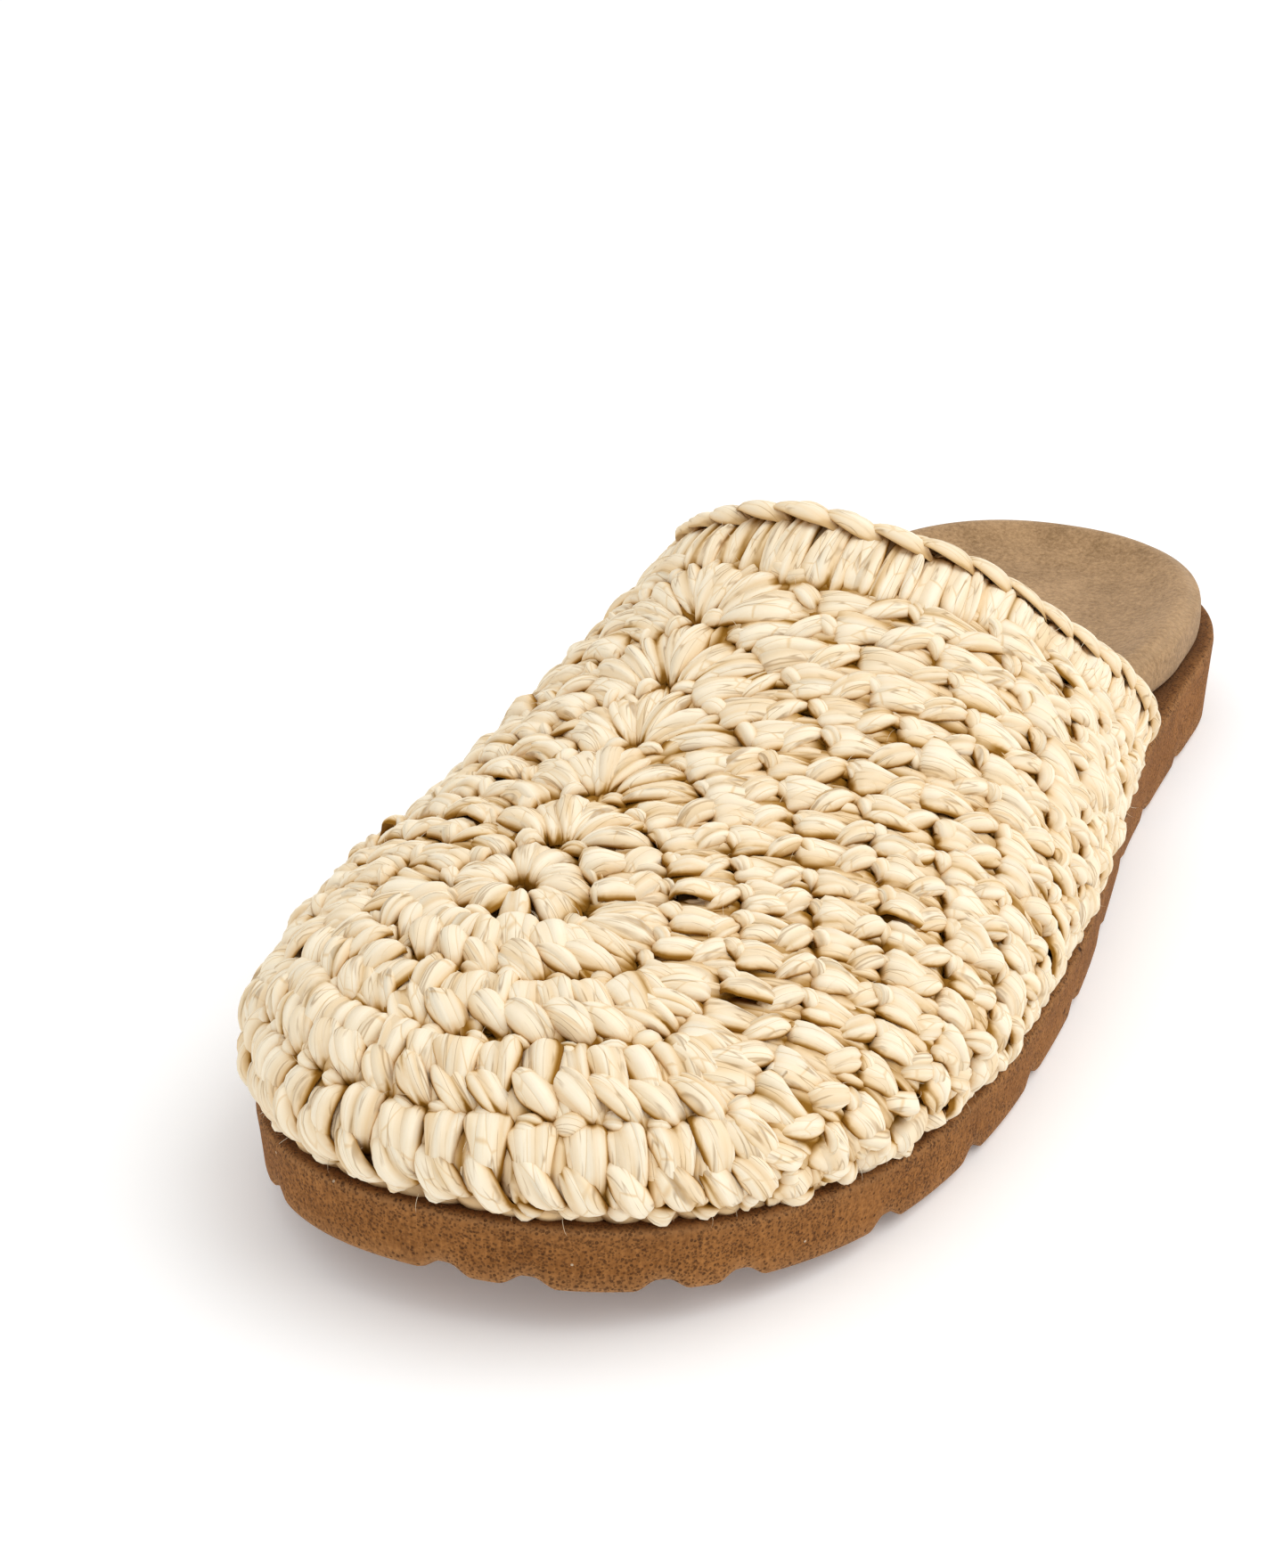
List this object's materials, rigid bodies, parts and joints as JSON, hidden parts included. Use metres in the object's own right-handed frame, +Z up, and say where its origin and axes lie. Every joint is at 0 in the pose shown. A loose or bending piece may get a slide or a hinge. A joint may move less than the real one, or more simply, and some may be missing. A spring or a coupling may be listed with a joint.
{
  "type": "crocheted slip-on clog",
  "caption": "Left slip-on clog with a crocheted raffia upper, open heel, suede-covered contoured footbed and a lugged foam sole.",
  "frame": {"origin": "on the floor under the middle of the shoe's box", "axes": "+Y from toe to heel, +X to the outer side of the left foot, +Z up"},
  "size_m": [0.0966, 0.2526, 0.07],
  "materials": {
    "sole": "matte porous brown foam",
    "insole": "taupe suede nap",
    "upper": "natural raffia ribbon, low sheen",
    "collar_edging": "natural raffia ribbon, low sheen"
  },
  "bodies": {
    "root": {"sole": "sole", "insole": "insole", "upper": "upper", "collar_edging": "collar_edging"}
  },
  "joints": []
}
